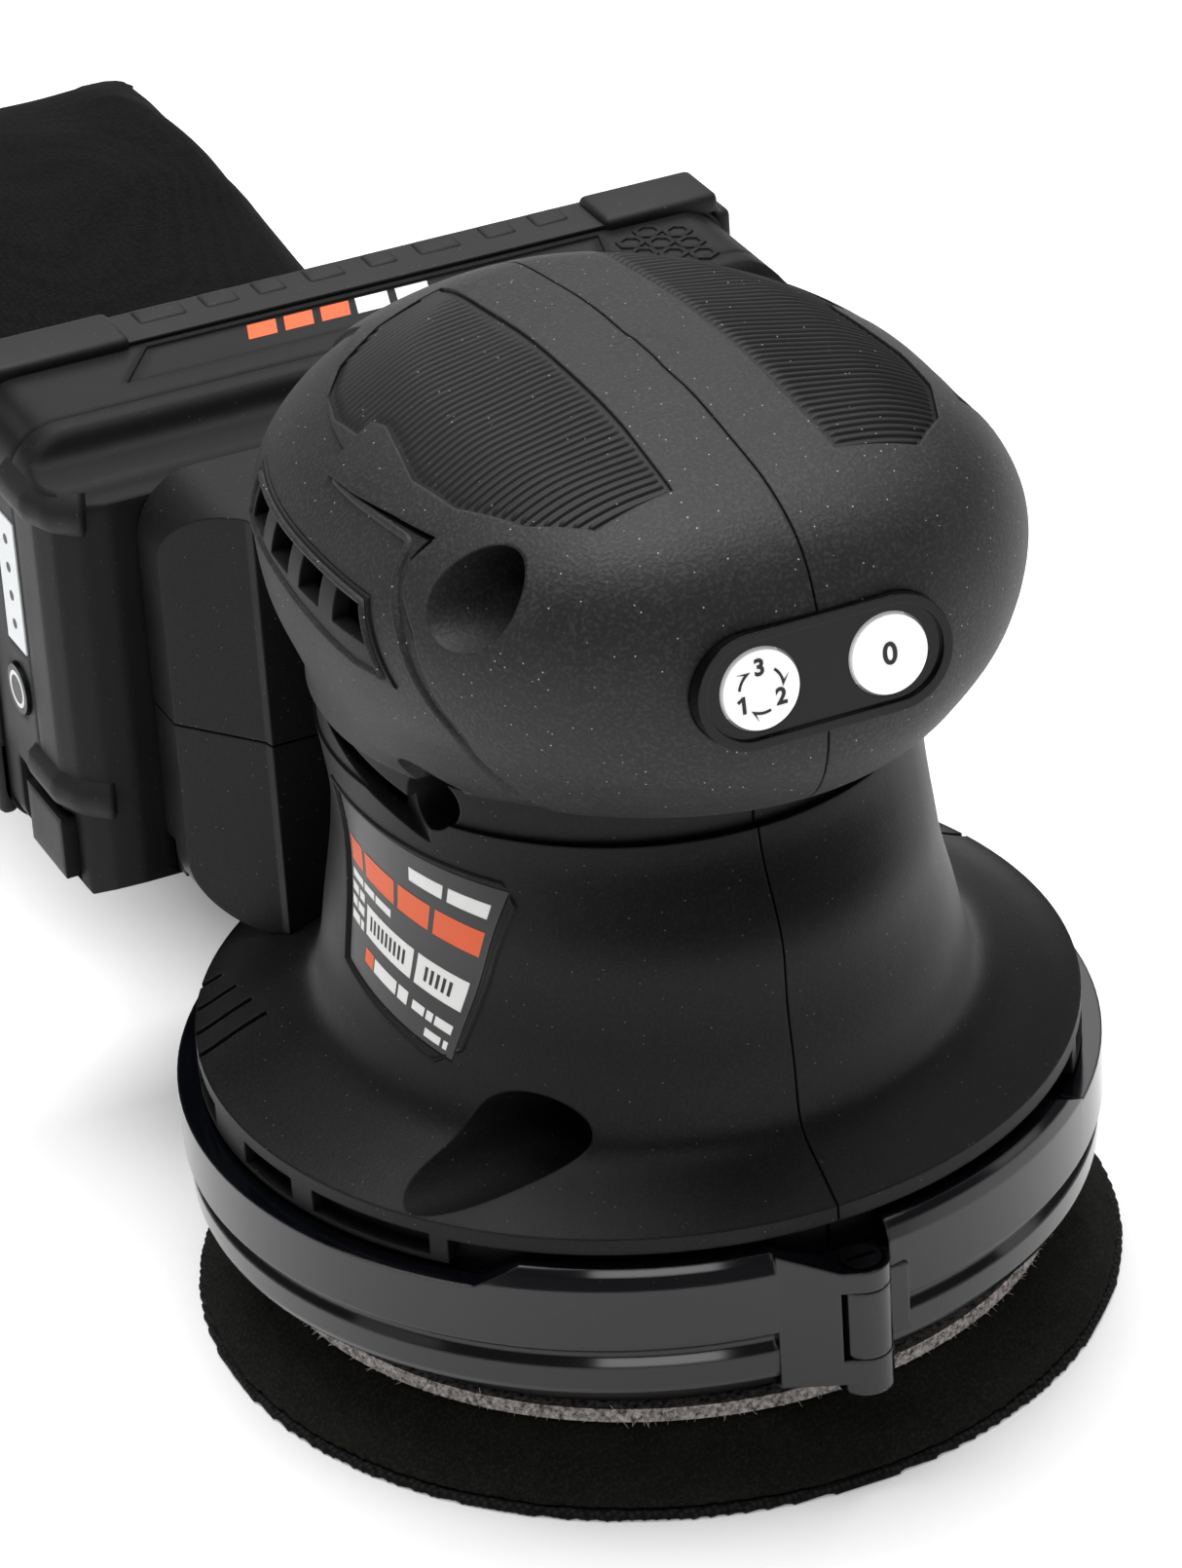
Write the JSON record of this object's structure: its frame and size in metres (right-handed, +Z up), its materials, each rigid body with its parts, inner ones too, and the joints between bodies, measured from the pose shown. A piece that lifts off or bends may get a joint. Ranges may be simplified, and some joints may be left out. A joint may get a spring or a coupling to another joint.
{
  "type": "orbital sander",
  "caption": "Cordless random orbital sander with a round pad, dust shroud, rear slide-on battery and fabric dust bag.",
  "frame": {"origin": "motor axis at the working face of the sanding pad", "axes": "+Z up along the motor axis; +Y towards the battery and dust bag; the switch panel faces -Y"},
  "size_m": [0.125, 0.3451, 0.1414],
  "materials": {
    "black_abs": "fine matt texture",
    "soft_touch": "matt soft-touch overmould",
    "smoked_plastic": "glossy",
    "switch_gloss": "glossy",
    "white_plastic": "printed white",
    "label_film": "printed film",
    "foam": "closed-cell foam",
    "hook_fabric": "fibrous hook face",
    "bag_fabric": "woven polyester",
    "steel": "machined",
    "dark_steel": "black oxide",
    "aluminium": "die cast",
    "copper": "enamelled wire",
    "magnet": "nickel plated",
    "board": "solder mask",
    "cell_wrap": "shrink sleeve",
    "nylon": "glass-filled nylon",
    "clear_window": "milky window"
  },
  "bodies": {
    "housing": {"head_shell_left": "soft_touch", "head_shell_right": "soft_touch", "grip_pad_left": "soft_touch", "grip_pad_right": "soft_touch", "vent_grille_left": "black_abs", "vent_grille_right": "black_abs", "body_shell_left": "black_abs", "body_shell_right": "black_abs", "rating_label": "label_film", "switch_bezel": "switch_gloss", "switch_board": "board", "controller_board": "board", "housing_screws": "dark_steel", "shroud_left": "smoked_plastic", "shroud_right": "smoked_plastic", "shroud_clamp_screw": "dark_steel", "seal_ring": "soft_touch", "stator_core": "steel", "stator_windings": "copper", "motor_can": "steel", "upper_bearing": "steel", "lower_bearing": "steel", "lower_bearing_plate": "aluminium", "upper_bearing_plate": "aluminium", "foot_upper": "black_abs", "foot_lower": "black_abs", "terminal_block": "nylon", "terminal_blades": "steel", "dust_duct": "black_abs"},
    "rotor": {"motor_shaft": "steel", "rotor_core": "steel", "rotor_magnets": "magnet", "fan": "nylon", "counterweight": "aluminium"},
    "pad": {"eccentric_bearing": "steel", "pad_spindle": "steel", "backing_plate": "nylon", "pad_foam": "foam", "pad_hook_face": "hook_fabric", "pad_screws": "dark_steel"},
    "speed_switch": {"speed_button": "white_plastic"},
    "off_switch": {"off_button": "white_plastic"},
    "battery": {"battery_front_case": "black_abs", "battery_back_case": "black_abs", "battery_bumper": "soft_touch", "battery_top_panel": "black_abs", "battery_cells": "cell_wrap", "cell_holder": "nylon", "battery_board": "board", "battery_terminals": "steel", "gauge_window": "clear_window", "battery_screws": "dark_steel"},
    "latch": {"latch_button": "black_abs"},
    "gauge": {"gauge_button": "white_plastic"},
    "bag": {"bag_collar": "black_abs", "dust_bag": "bag_fabric", "bag_end_clip": "black_abs"}
  },
  "joints": [
    {"name": "rotor_spin", "type": "hinge", "parent": "housing", "child": "rotor", "pos_m": [0, 0, 0.06], "axis": [0, 0, 1], "continuous": true},
    {"name": "pad_spin", "type": "hinge", "parent": "rotor", "child": "pad", "pos_m": [0.0012, 0, 0.019], "axis": [0, 0, 1], "continuous": true},
    {"name": "speed_press", "type": "slide", "parent": "housing", "child": "speed_switch", "axis": [0, 0.9914, -0.1305], "range_m": [0, 0.0005], "stiffness_N_per_m": 2000},
    {"name": "off_press", "type": "slide", "parent": "housing", "child": "off_switch", "axis": [0, 0.9914, -0.1305], "range_m": [0, 0.0005], "stiffness_N_per_m": 2000},
    {"name": "battery_slide", "type": "slide", "parent": "housing", "child": "battery", "axis": [-1, 0, 0], "range_m": [0, 0.098]},
    {"name": "latch_press", "type": "slide", "parent": "battery", "child": "latch", "axis": [0, 1, 0], "range_m": [0, 0.0035], "stiffness_N_per_m": 800},
    {"name": "gauge_press", "type": "slide", "parent": "battery", "child": "gauge", "axis": [1, 0, 0], "range_m": [0, 0.0004], "stiffness_N_per_m": 1500},
    {"name": "bag_pull", "type": "slide", "parent": "housing", "child": "bag", "axis": [0, 1, 0], "range_m": [0, 0.035]}
  ]
}
